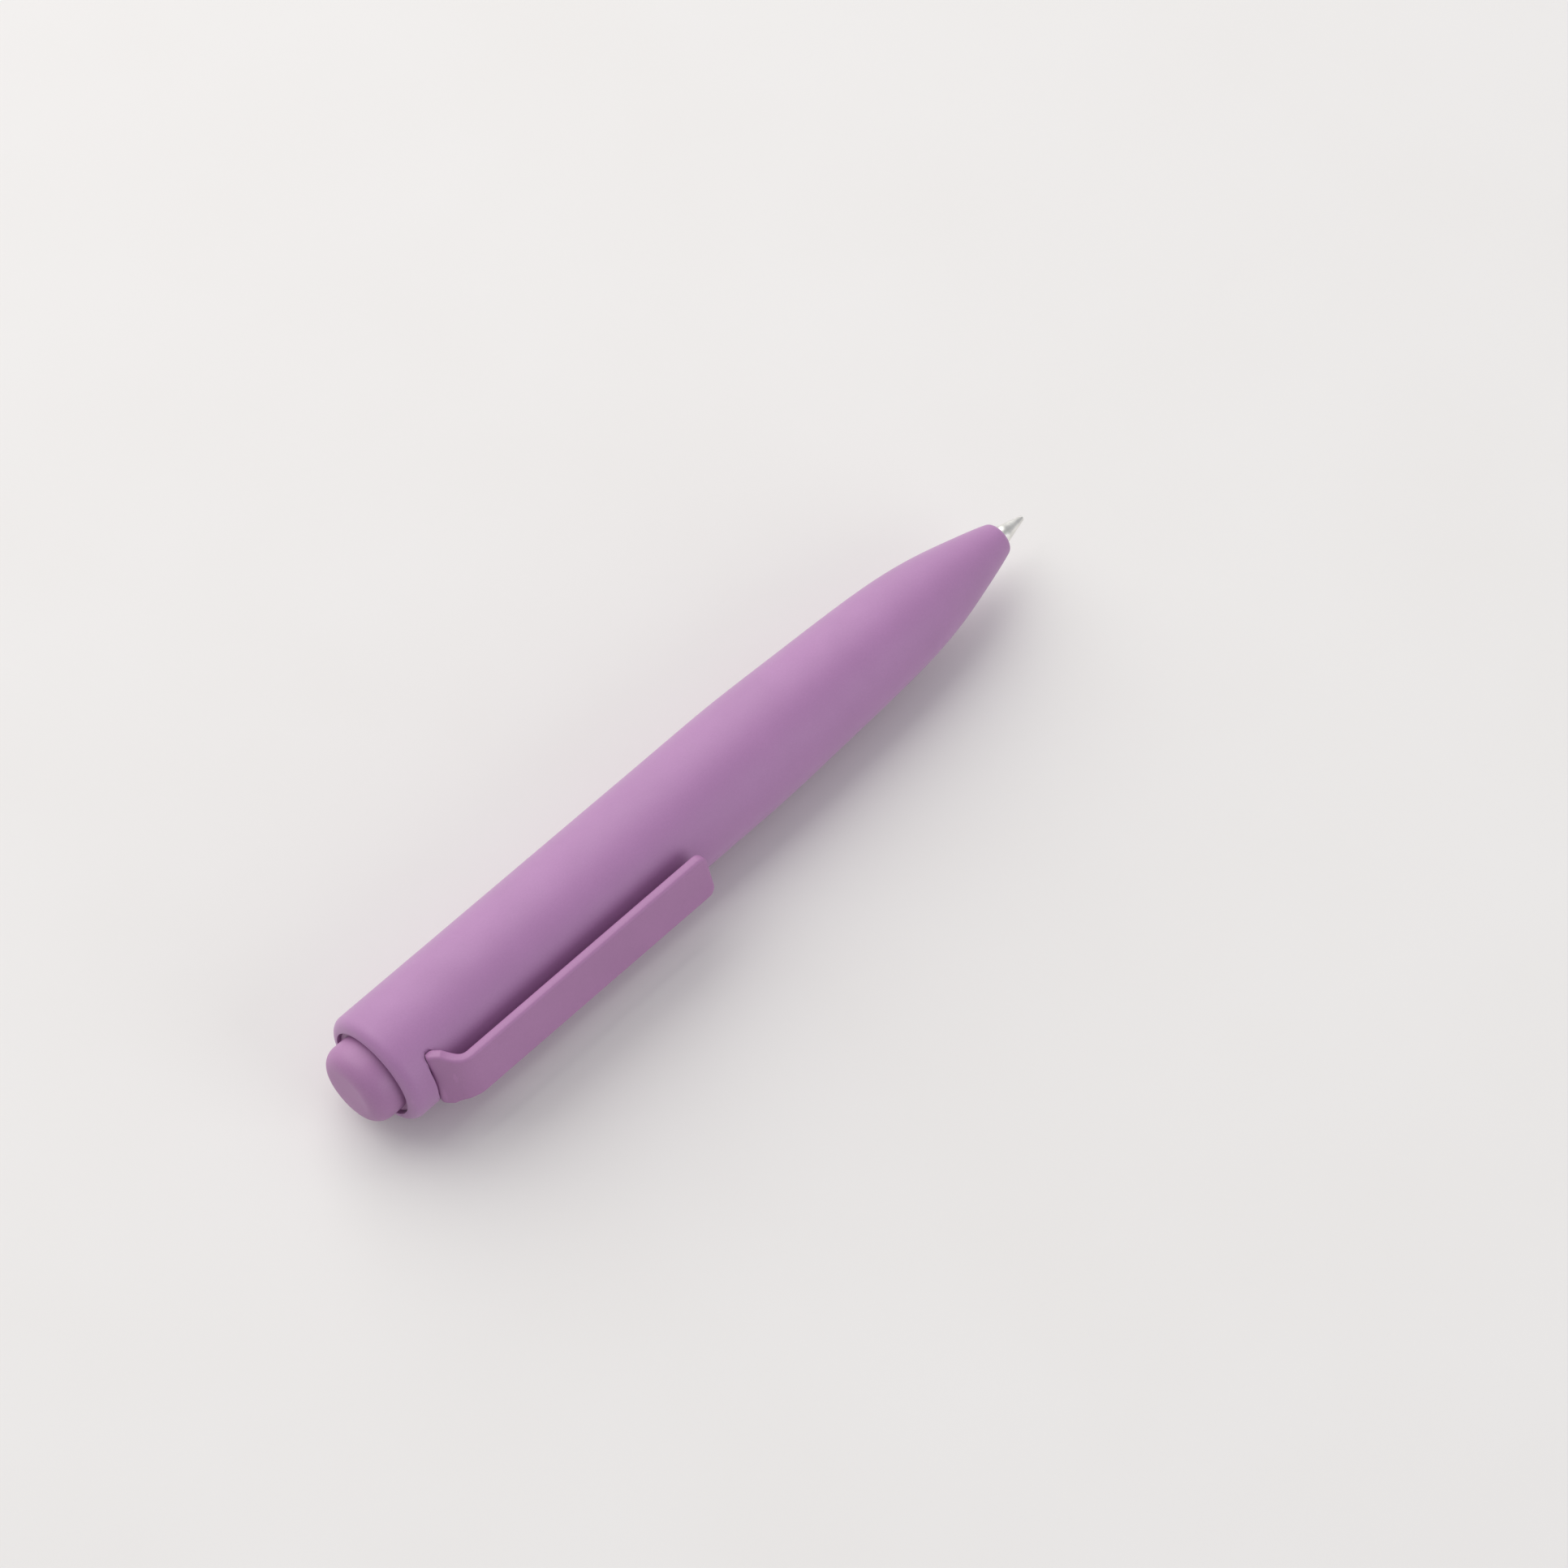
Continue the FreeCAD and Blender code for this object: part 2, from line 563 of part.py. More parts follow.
def cam_sleeve():
    """Guide sleeve pressed into the barrel, with four sloped lugs and a stop flange."""
    lug_start_x = ROTOR_X - RIB_START - RIB_LENGTH - CAM_GAP
    body = tube(SLEEVE_START_X, SLEEVE_END_X, BORE_RADIUS, SLEEVE_BORE)
    body = body.fuse(tube(FLANGE_X, SLEEVE_END_X, BORE_RADIUS, LUG_RADIUS))
    seat_radius = (SLEEVE_BORE + BORE_RADIUS) / 2
    for middle in cam_angles(0):
        lug = sector(lug_start_x + LUG_LENGTH / 2, lug_start_x - LUG_LENGTH, LUG_RADIUS,
                     seat_radius, middle, CAM_ANGLE)
        body = body.fuse(lug.cut(beyond_slope(lug_start_x, middle, cam_slope(), True)))
    return only_solid(body)


def lock_ring():
    """Ring that holds the sleeve in the barrel."""
    return tube(SLEEVE_END_X, LOCK_END_X, BORE_RADIUS, SHAFT_RADIUS + LOCK_RING_GAP)


def refill_guide():
    """Collar that keeps the refill on the pen's axis."""
    start = SLEEVE_START_X + GUIDE_SETBACK
    return tube(start, start + GUIDE_LENGTH, BORE_RADIUS, TUBE_RADIUS + GUIDE_CLEARANCE)


# ---------------- refill ----------------


def point_cone():
    """Turned metal point with the socket of the ball in its end."""
    end_x = POINT_X - BALL_HIDE
    ball_x = POINT_X - BALL_RADIUS
    base_x = POINT_X - CONE_LENGTH
    channel_end_x = ball_x - CHANNEL_LENGTH
    body = turned_points([
        (end_x, 0),
        (end_x, CONE_END_RADIUS),
        (base_x, CONE_RADIUS),
        (POINT_END_X, CONE_RADIUS),
        (POINT_END_X, POINT_BORE),
        (channel_end_x, POINT_BORE),
        (channel_end_x, CHANNEL_RADIUS),
        (ball_x, CHANNEL_RADIUS),
        (ball_x, 0),
    ])
    return only_solid(body.cut(Part.makeSphere(BALL_RADIUS + SOCKET_GAP, at(ball_x, 0))))


def point_ball():
    return Part.makeSphere(BALL_RADIUS, at(POINT_X - BALL_RADIUS, 0))


def ball_spring():
    """Fine coil inside the point, with a straight end that reaches up to the ball."""
    coil_start_x = POINT_X - BALL_RADIUS - CHANNEL_LENGTH - NIB_LEAD
    tip_x = POINT_X - 2 * BALL_RADIUS - SOCKET_GAP
    end_disc = rod(coil_start_x, coil_start_x + 2 * NIB_WIRE, NIB_COIL + NIB_WIRE)
    lead = end_disc.fuse(rod(tip_x, coil_start_x, NIB_LEAD_RADIUS))
    turns = coil(coil_start_x, coil_start_x - NIB_LENGTH, NIB_COIL, NIB_WIRE, NIB_TURNS)
    return Part.makeCompound([only_solid(lead), turns])


def tip_holder():
    """Plastic holder between the metal point and the ink tube, with the spring's collar."""
    return turned_points([
        (HOLDER_X, CONE_RADIUS),
        (HOLDER_X, HOLDER_RADIUS),
        (SHOULDER_X, HOLDER_RADIUS),
        (SHOULDER_X, TUBE_RADIUS),
        (TUBE_X, TUBE_RADIUS),
        (TUBE_X, TUBE_BORE),
        (INK_X, TUBE_BORE),
        (INK_X, POINT_BORE),
        (POINT_END_X, POINT_BORE),
        (POINT_END_X, CONE_RADIUS),
    ])


def refill_tube():
    return tube(TUBE_X, PLUG_X, TUBE_RADIUS, TUBE_BORE)


def ink_column():
    return rod(INK_X, GREASE_X, TUBE_BORE)


def follower_grease():
    return rod(GREASE_X, AIR_X, TUBE_BORE)


def refill_plug():
    """Vented plug in the refill's rear end, which the rotor pushes on."""
    body = rod(PLUG_X + PLUG_DEPTH, PLUG_X, TUBE_BORE)
    body = body.fuse(rod(PLUG_X, ROTOR_X, TUBE_RADIUS))
    return only_solid(body.cut(rod(PLUG_X + PLUG_DEPTH + PAST, ROTOR_X - PAST, VENT_RADIUS)))


def return_spring():
    """Coil spring round the tip holder, between the step in the nose and the collar."""
    return coil(CHAMBER_START_X - SPRING_END_GAP, SHOULDER_X + SPRING_END_GAP, SPRING_COIL,
                SPRING_WIRE, SPRING_TURNS)


PIECES = [
    barrel,
    nose_bush,
    clip,
    push_button,
    plunger,
    rotor,
    cam_sleeve,
    lock_ring,
    refill_guide,
    return_spring,
    point_cone,
    point_ball,
    ball_spring,
    tip_holder,
    refill_tube,
    ink_column,
    follower_grease,
    refill_plug,
]

os.makedirs("parts", exist_ok=True)
for make in PIECES:
    make().exportStep("parts/" + make.__name__ + ".step")
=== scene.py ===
"""A stubby click pen with a soft matte barrel, lying on its side with the point out, ready to write."""

import json
import math

import bmesh
import bpy
import numpy as np
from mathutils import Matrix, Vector


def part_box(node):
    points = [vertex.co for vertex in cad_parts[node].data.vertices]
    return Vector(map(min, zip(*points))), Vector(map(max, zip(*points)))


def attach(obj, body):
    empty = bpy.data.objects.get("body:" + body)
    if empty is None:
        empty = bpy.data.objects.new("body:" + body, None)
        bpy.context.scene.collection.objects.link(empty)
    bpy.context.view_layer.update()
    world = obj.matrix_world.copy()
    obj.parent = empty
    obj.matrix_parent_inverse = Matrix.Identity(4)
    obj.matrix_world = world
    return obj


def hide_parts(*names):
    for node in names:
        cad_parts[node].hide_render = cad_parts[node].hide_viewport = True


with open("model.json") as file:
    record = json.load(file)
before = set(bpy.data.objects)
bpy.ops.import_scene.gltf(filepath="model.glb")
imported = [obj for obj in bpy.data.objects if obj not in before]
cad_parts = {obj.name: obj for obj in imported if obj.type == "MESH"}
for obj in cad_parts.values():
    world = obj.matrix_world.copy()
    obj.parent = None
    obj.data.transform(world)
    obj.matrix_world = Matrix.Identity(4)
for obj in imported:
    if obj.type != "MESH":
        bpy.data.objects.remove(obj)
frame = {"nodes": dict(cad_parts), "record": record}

MM = 0.001
ROUND_STEPS = 160  # flat faces round a turned piece
SMOOTH_BELOW = math.radians(38)  # edges that turn less than this are shaded smooth
WELD_GAP = 0.0005  # corners closer than this, in millimetres, become one
LONG_STEP = 1.0  # between the points of a straight side, in millimetres
ARC_STEPS = 16

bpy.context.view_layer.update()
joints = {joint["name"]: joint for joint in frame["record"]["behaviour"]["joints"]}
barrel_low, barrel_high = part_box("barrel")
button_low, button_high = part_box("push_button")
point_low, point_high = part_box("point_cone")
ball_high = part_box("point_ball")[1]

# ---- barrel, millimetres ----
NOSE_X = barrel_high.x / MM
RIM_X = barrel_low.x / MM
SEAT_RADIUS = 7.5  # straight stretch that a pen loop grips
SEAT_HALF = 4.25
REAR_RADIUS = 7.62
WALL = 1.4
BORE_RADIUS = SEAT_RADIUS - WALL
RIM_ROUND = 1.5
LIP_ROUND = 1.0
LIP_RADIUS = 1.38  # flat ring round the nose opening
HOLE_RADIUS = 1.30
NOSE_SLOPE = 0.34  # radius gained per length, just behind the lip
# The nose swells along these fractions of its length and of the radius it still has to gain.
NOSE_SWELL = ((0.10, 0.265), (0.22, 0.535), (0.335, 0.705), (0.50, 0.825), (0.71, 0.915))
BUSH_SETBACK = 2.1
BUSH_RADIUS = 1.80
SPRING_STEP = 8.9  # step that holds the spring's front end, behind the lip
CHAMBER_RADIUS = 3.25
CHAMBER_LENGTH = 9.5
TAPER_LENGTH = 29.0
NOSE_STEP = 0.6  # between the points along the nose
LIP_STEPS = 14

# ---- clip, millimetres, in its own frame where the height points out of the barrel ----
CLIP_ROLL = math.radians(16)  # the clip stands this far above the horizontal
CLIP_TOP = 10.67  # outer face, from the pen's axis
CLIP_THICK = 1.45
CLIP_HALF_WIDTH = 3.4
CLIP_FLARE = 1.0  # the foot widens this much each side at its root
FLARE_RADIUS = 3.0
CLIP_CORNER = 1.3  # rounded corners of the free end
CLIP_EDGE = 0.45
CLIP_END_X = -8.25
CLIP_LEAN = math.radians(52)
CLIP_BEND = 3.25
HOOK_ROUND = 1.2  # rounded corners of the root
KNUCKLE_LIFT = 0.12
SLOT_GAP = 0.07
SLOT_MOUTH = 0.22
SLOT_SIDE = 0.25
HOOK_START = 0.3  # of the rounding, ahead of the root's middle
ROOT_WRAP = math.radians(80)  # how far the root's end is rounded
FOOT_STEP = 0.12
END_STEPS = 8
BEND_STEPS = 14
CORNER_STEPS = 6
SLOT_STEPS = 24
EDGE_SHARE = 0.9  # the most of the half thickness that an edge's rounding takes

# ---- push button and metal point, millimetres ----
BUTTON_RADIUS = 5.35
SKIRT_RADIUS = 5.9  # the wider part that slides in the bore
STEP_DEPTH = 0.5
BUTTON_ROUND = 2.3
BUTTON_WALL = 1.1
BUTTON_CROWN = 2.4
BOSS_RADIUS = 3.4
STEM_PIN_RADIUS = 2.4
STEM_PIN_LENGTH = 5.0
CONE_LENGTH = 3.5
CONE_RADIUS = 1.18
CONE_END_RADIUS = 0.33
POINT_BORE = 0.45
CHANNEL_RADIUS = 0.15
BALL_RADIUS = 0.25
SOCKET_GAP = 0.02
ROLLED_EDGE = 0.06  # rounding of the metal rolled over the ball
BORE_END = 0.8  # the point's bore stops this far behind the middle of the ball
CAP_STEP = 0.6
CAP_STEPS = 20
SOCKET_STEPS = 12
ROLL_STEPS = 5
CONE_STEP = 0.4
SHANK_STEP = 2.0

# ---- finishes: colour (linear), roughness, metallic ----
MAUVE = (0.408, 0.196, 0.404)
CLOUD_MM = 9.0  # size of the faint lighter and darker clouds in a plastic's colour
SMEAR_MM = 4.0  # size of the more and less shiny places
TARNISH_MM = 1.2
RING_STRETCH = (1.0, 0.04, 0.04)  # draws noise out round the pen's axis
METAL_BUMP_MM = 0.01
CLIP_MAUVE = (0.400, 0.190, 0.375)
BUTTON_MAUVE = (0.400, 0.195, 0.380)


# ---------------- mesh helpers ----------------


def arc_points(centre, radius, start, end, steps):
    """Points of a circle in an outline. Angles are in degrees, and 0 points along +X."""
    angles = [math.radians(start + (end - start) * step / steps) for step in range(steps + 1)]
    return [(centre[0] + radius * math.cos(a), centre[1] + radius * math.sin(a)) for a in angles]


def spread(start, end, step):
    """Points along a straight outline side, without its end."""
    count = max(1, round(math.dist(start, end) / step))
    return [
        (start[0] + (end[0] - start[0]) * k / count, start[1] + (end[1] - start[1]) * k / count)
        for k in range(count)
    ]


def smooth_through(points, start_slope, end_slope, step):
    """A smooth line through outline points, with the slopes at both its ends given."""
    xs = np.array([p[0] for p in points])
    rs = np.array([p[1] for p in points])
    count = len(points)
    system = np.zeros((count, count))
    right = np.zeros(count)
    system[0, 0] = system[-1, -1] = 1.0
    right[0], right[-1] = start_slope, end_slope
    for k in range(1, count - 1):
        before, after = xs[k] - xs[k - 1], xs[k + 1] - xs[k]
        system[k, k - 1 : k + 2] = after, 2 * (before + after), before
        right[k] = 3 * (
            after * (rs[k] - rs[k - 1]) / before + before * (rs[k + 1] - rs[k]) / after
        )
    slopes = np.linalg.solve(system, right)
    line = []
    for k in range(count - 1):
        width = xs[k + 1] - xs[k]
        pieces = max(2, round(abs(width) / step))
        for t in np.linspace(0, 1, pieces, endpoint=False):
            along = xs[k] + t * width
            radius = (
                (1 + 2 * t) * (1 - t) ** 2 * rs[k]
                + t * (1 - t) ** 2 * width * slopes[k]
                + t * t * (3 - 2 * t) * rs[k + 1]
                - t * t * (1 - t) * width * slopes[k + 1]
            )
            line.append((float(along), float(radius)))
    line.append((float(xs[-1]), float(rs[-1])))
    return line


def finish_mesh(name, bm):
    """Turns a bmesh in millimetres into an object in metres, smooth where it is round."""
    bmesh.ops.scale(bm, vec=(MM, MM, MM), verts=bm.verts)
    bmesh.ops.remove_doubles(bm, verts=bm.verts, dist=MM * WELD_GAP)
    bmesh.ops.recalc_face_normals(bm, faces=bm.faces)
    mesh = bpy.data.meshes.new(name)
    bm.to_mesh(mesh)
    bm.free()
    mesh.shade_smooth()
    mesh.set_sharp_from_angle(angle=SMOOTH_BELOW)
    made = bpy.data.objects.new(name, mesh)
    bpy.context.scene.collection.objects.link(made)
    return made


def lathe(outline):
    """A bmesh turned about the pen's axis from a closed outline of (x, radius) points."""
    bm = bmesh.new()
    rings = []
    for x, radius in outline:
        if radius < CHANNEL_RADIUS / 10:
            rings.append([bm.verts.new((x, 0, 0))] * ROUND_STEPS)
            continue
        ring = []
        for step in range(ROUND_STEPS):
            angle = 2 * math.pi * step / ROUND_STEPS
            ring.append(bm.verts.new((x, radius * math.cos(angle), radius * math.sin(angle))))
        rings.append(ring)
    for one, two in zip(rings, rings[1:] + rings[:1]):
        for step in range(ROUND_STEPS):
            after = (step + 1) % ROUND_STEPS
            corners = []
            for vert in (one[step], one[after], two[after], two[step]):
                if vert not in corners:
                    corners.append(vert)
            if len(corners) > 2:
                bm.faces.new(corners)
    return bm


def on_clip(x, across, height):
    """A point in the clip's own frame, as a place on the pen."""
    return Vector((
        x,
        across * math.sin(CLIP_ROLL) - height * math.cos(CLIP_ROLL),
        across * math.cos(CLIP_ROLL) + height * math.sin(CLIP_ROLL),
    ))


# ---------------- barrel ----------------

KNUCKLE_RADIUS = CLIP_THICK / 2
root_x = joints["clip_flex"]["pos_m"][0] / MM
root_height = BORE_RADIUS + KNUCKLE_LIFT + KNUCKLE_RADIUS
KNUCKLE_HALF_WIDTH = CLIP_HALF_WIDTH + CLIP_FLARE


def barrel_outline():
    """From the nose opening over the outside to the rear rim, and back through the bore."""
    steep = math.degrees(math.atan(1 / NOSE_SLOPE))
    lip = arc_points((NOSE_X - LIP_ROUND, LIP_RADIUS), LIP_ROUND, 0, steep, LIP_STEPS)
    start = lip[-1]
    length, gain = start[0] - SEAT_HALF, SEAT_RADIUS - start[1]
    knots = [start]
    for along, share in NOSE_SWELL:
        knots.append((start[0] - along * length, start[1] + share * gain))
    knots.append((SEAT_HALF, SEAT_RADIUS))
    nose = smooth_through(knots, -NOSE_SLOPE, 0, NOSE_STEP)
    shoulder_x = RIM_X + RIM_ROUND
    shoulder = arc_points((shoulder_x, REAR_RADIUS - RIM_ROUND), RIM_ROUND, 90, 180, ARC_STEPS)
    rear = spread((SEAT_HALF, SEAT_RADIUS), (-SEAT_HALF, SEAT_RADIUS), LONG_STEP)
    rear += spread((-SEAT_HALF, SEAT_RADIUS), shoulder[0], LONG_STEP)
    chamber_x = NOSE_X - SPRING_STEP
    taper_x = chamber_x - CHAMBER_LENGTH
    bush_x = NOSE_X - BUSH_SETBACK
    bore = [
        (RIM_X, BORE_RADIUS),
        (taper_x - TAPER_LENGTH, BORE_RADIUS),
        (taper_x, CHAMBER_RADIUS),
        (chamber_x, CHAMBER_RADIUS),
        (chamber_x, BUSH_RADIUS),
        (bush_x, BUSH_RADIUS),
        (bush_x, HOLE_RADIUS),
        (NOSE_X, HOLE_RADIUS),
    ]
    return lip + nose[1:] + rear[1:] + shoulder + bore


def slot_cutter():
    """The shape of the slot that the clip's root sits in."""
    reach = KNUCKLE_RADIUS + SLOT_GAP
    lean = math.degrees(CLIP_LEAN)
    socket = arc_points((root_x, root_height), reach, 180, 270 + lean, SLOT_STEPS)
    up = CLIP_TOP
    front = (
        socket[-1][0] + up * math.cos(CLIP_LEAN),
        socket[-1][1] + up * math.sin(CLIP_LEAN),
    )
    rear_x = root_x - reach - SLOT_MOUTH
    outline = [(rear_x, front[1]), (rear_x, root_height)] + socket + [front]
    bm = bmesh.new()
    half = KNUCKLE_HALF_WIDTH + SLOT_SIDE
    ends = [[bm.verts.new(on_clip(x, side, h)) for x, h in outline] for side in (half, -half)]
    bm.faces.new(ends[0])
    bm.faces.new(reversed(ends[1]))
    count = len(outline)
    for k in range(count):
        after = (k + 1) % count
        bm.faces.new((ends[0][after], ends[0][k], ends[1][k], ends[1][after]))
    return finish_mesh("slot_cutter", bm)


def make_barrel():
    shell = finish_mesh("barrel_shell", lathe(barrel_outline()))
    cutter = slot_cutter()
    cut = shell.modifiers.new("slot", "BOOLEAN")
    cut.operation = "DIFFERENCE"
    cut.solver = "EXACT"
    cut.object = cutter
    graph = bpy.context.evaluated_depsgraph_get()
    mesh = bpy.data.meshes.new_from_object(shell.evaluated_get(graph))
    shell.modifiers.clear()
    shell.data = mesh
    mesh.set_sharp_from_angle(angle=SMOOTH_BELOW)
    bpy.data.objects.remove(cutter)
    return shell


# ---------------- clip ----------------


def half_width(x):
    """Half the clip's width at a place along the pen: straight, then flared at the root."""
    flare_end = root_x + KNUCKLE_RADIUS
    run = math.sqrt(FLARE_RADIUS**2 - (FLARE_RADIUS - CLIP_FLARE) ** 2)
    if x >= flare_end + run:
        return CLIP_HALF_WIDTH
    into = flare_end + run - max(x, flare_end)
    return CLIP_HALF_WIDTH + FLARE_RADIUS - math.sqrt(FLARE_RADIUS**2 - into**2)


def hook_inset(x):
    """How far the root's rounded corners draw in the clip's side at a place along the pen."""
    start = root_x + HOOK_ROUND * HOOK_START
    into = min(HOOK_ROUND, max(0.0, start - x))
    return HOOK_ROUND - math.sqrt(HOOK_ROUND**2 - into**2)


def clip_stations():
    """Places along the clip's middle line: x, height, lean, half thickness, way from the end."""
    half = CLIP_THICK / 2
    middle = CLIP_TOP - half
    bend_x = root_x + (middle - root_height) / math.tan(CLIP_LEAN) - half * math.tan(CLIP_LEAN / 2)
    centre_x = bend_x + CLIP_BEND * math.tan(CLIP_LEAN / 2)
    stations = []
    for step in range(END_STEPS + 1):
        way = CLIP_EDGE * (1 - math.cos(math.pi / 2 * step / END_STEPS))
        stations.append((CLIP_END_X - way, middle, 0.0, half, way))
    for step in range(1, END_STEPS + 1):
        way = CLIP_EDGE + (CLIP_CORNER - CLIP_EDGE) * step / END_STEPS
        stations.append((CLIP_END_X - way, middle, 0.0, half, way))
    far = 2 * CLIP_CORNER
    straight = spread((CLIP_END_X - CLIP_CORNER, middle), (centre_x, middle), LONG_STEP)
    for x, height in straight[1:]:
        stations.append((x, height, 0.0, half, far))
    radius = CLIP_BEND - half
    for step in range(BEND_STEPS + 1):
        lean = CLIP_LEAN * step / BEND_STEPS
        x = centre_x - radius * math.sin(lean)
        height = CLIP_TOP - CLIP_BEND + radius * math.cos(lean)
        stations.append((x, height, lean, half, far))
    foot_top = stations[-1]
    for x, height in spread(foot_top[:2], (root_x, root_height), FOOT_STEP)[1:]:
        stations.append((x, height, CLIP_LEAN, half, far))
    for step in range(END_STEPS + 1):
        turn = ROOT_WRAP * step / END_STEPS
        past = KNUCKLE_RADIUS * math.sin(turn)
        x = root_x - past * math.cos(CLIP_LEAN)
        height = root_height - past * math.sin(CLIP_LEAN)
        stations.append((x, height, CLIP_LEAN, half * math.cos(turn), far))
    return stations


def clip_loop(bm, x, height, lean, half, way):
    """One cross-section of the clip: a rectangle with rounded corners."""
    edge = min(CLIP_EDGE, half * EDGE_SHARE)
    widest = half_width(x) - hook_inset(x)
    last = math.acos(max(0.0, 1 - min(way, edge) / edge)) if way < edge else math.pi / 2
    side = []
    for step in range(-CORNER_STEPS, CORNER_STEPS + 1):
        turn = last * step / CORNER_STEPS
        inset = edge * (1 - math.cos(turn))
        if way < CLIP_CORNER:
            bow = (CLIP_CORNER - inset) ** 2 - (CLIP_CORNER - way) ** 2
            across = widest - CLIP_CORNER + math.sqrt(max(0.0, bow))
        else:
            across = widest - inset
        rise = half - edge + edge * math.sin(abs(turn))
        side.append((across, math.copysign(rise, turn) if step else 0.0))
    top = [
        (side[-1][0] * (1 - k / CORNER_STEPS), side[-1][1]) for k in range(1, 2 * CORNER_STEPS)
    ]
    outline = side + top + [(-a, -h) for a, h in side] + [(-a, -h) for a, h in top]
    loop = []
    for across, out in outline:
        loop.append(bm.verts.new(on_clip(
            x - out * math.sin(lean), across, height + out * math.cos(lean)
        )))
    return loop


def make_clip():
    bm = bmesh.new()
    loops = [clip_loop(bm, *station) for station in clip_stations()]
    for one, two in zip(loops, loops[1:]):
        count = len(one)
        for k in range(count):
            after = (k + 1) % count
            bm.faces.new((one[k], one[after], two[after], two[k]))
    bm.faces.new(loops[0])
    bm.faces.new(reversed(loops[-1]))
    return finish_mesh("clip_blade", bm)


# ---------------- push button and metal point ----------------


def make_button():
    end_x, skirt_x = button_low.x / MM, button_high.x / MM
    flat = BUTTON_RADIUS - BUTTON_ROUND
    inner = BUTTON_RADIUS - BUTTON_WALL
    pin_x = skirt_x - STEM_PIN_LENGTH
    outline = spread((end_x, 0), (end_x, flat), CAP_STEP)
    outline += arc_points((end_x + BUTTON_ROUND, flat), BUTTON_ROUND, 180, 90, CAP_STEPS)
    step_x = RIM_X + STEP_DEPTH
    side_start = (end_x + BUTTON_ROUND, BUTTON_RADIUS)
    outline += spread(side_start, (step_x, BUTTON_RADIUS), LONG_STEP)[1:]
    outline += [
        (step_x, BUTTON_RADIUS),
        (step_x, SKIRT_RADIUS),
        (skirt_x, SKIRT_RADIUS),
        (skirt_x, inner),
        (end_x + BUTTON_CROWN, inner),
        (end_x + BUTTON_CROWN, BOSS_RADIUS),
        (skirt_x, BOSS_RADIUS),
        (skirt_x, STEM_PIN_RADIUS),
        (pin_x, STEM_PIN_RADIUS),
        (pin_x, 0),
    ]
    return finish_mesh("button_cap", lathe(outline))


def make_point():
    """Turned metal point: rolled end round the ball, cone, and shank."""
    tip_x = ball_high.x / MM
    ball_x = tip_x - BALL_RADIUS
    tail_x = point_low.x / MM
    base_x = tip_x - CONE_LENGTH
    rim = BALL_RADIUS + SOCKET_GAP
    end_x = point_high.x / MM
    mouth = math.sqrt(rim**2 - (end_x - ball_x) ** 2)
    socket = math.degrees(math.asin(CHANNEL_RADIUS / rim))
    lip = math.degrees(math.asin(mouth / rim))
    outline = arc_points((ball_x, 0), rim, 180 - socket, lip, SOCKET_STEPS)
    edge = (end_x - ROLLED_EDGE, CONE_END_RADIUS - ROLLED_EDGE)
    outline += arc_points(edge, ROLLED_EDGE, 90, 20, ROLL_STEPS)[::-1]
    cone_start = (end_x - ROLLED_EDGE, CONE_END_RADIUS)
    outline += spread(cone_start, (base_x, CONE_RADIUS), CONE_STEP)[1:]
    outline += spread((base_x, CONE_RADIUS), (tail_x, CONE_RADIUS), SHANK_STEP)
    outline += [
        (tail_x, CONE_RADIUS),
        (tail_x, POINT_BORE),
        (ball_x - BORE_END, POINT_BORE),
        (ball_x - BORE_END, CHANNEL_RADIUS),
    ]
    return finish_mesh("turned_point", lathe(outline))


# ---------------- materials ----------------


def shader(name, colour, roughness, metallic=0.0, **uniform):
    """A material whose uniform values sit on the shader's own sockets."""
    material = bpy.data.materials.new(name)
    material.use_nodes = True
    nodes, links = material.node_tree.nodes, material.node_tree.links
    body = nodes["Principled BSDF"]
    body.inputs["Base Color"].default_value = (*colour, 1)
    body.inputs["Roughness"].default_value = roughness
    body.inputs["Metallic"].default_value = metallic
    for socket, value in uniform.items():
        body.inputs[socket.replace("_", " ")].default_value = value
    return material, nodes, links, body


def noise(nodes, links, place, size_mm, detail=3.0):
    """Noise whose features are about this many millimetres across."""
    made = nodes.new("ShaderNodeTexNoise")
    made.inputs["Scale"].default_value = 1 / (size_mm * MM)
    made.inputs["Detail"].default_value = detail
    links.new(place, made.inputs["Vector"])
    return made.outputs["Fac"]


def ranged(nodes, links, source, low, high, to_low, to_high):
    made = nodes.new("ShaderNodeMapRange")
    for socket, value in (
        ("From Min", low), ("From Max", high), ("To Min", to_low), ("To Max", to_high),
    ):
        made.inputs[socket].default_value = value
    links.new(source, made.inputs["Value"])
    return made.outputs["Result"]


def mixed(nodes, links, factor, one, two):
    """A blend of two colours. Each is a colour or another node's output."""
    made = nodes.new("ShaderNodeMix")
    made.data_type = "RGBA"
    links.new(factor, made.inputs["Factor"])
    for socket, value in (("A", one), ("B", two)):
        target = next(s for s in made.inputs if s.name == socket and s.type == "RGBA")
        if isinstance(value, tuple):
            target.default_value = (*value, 1)
        else:
            links.new(value, target)
    return next(s for s in made.outputs if s.type == "RGBA")


def tinted(colour, amount):
    return tuple(min(1.0, channel * amount) for channel in colour)


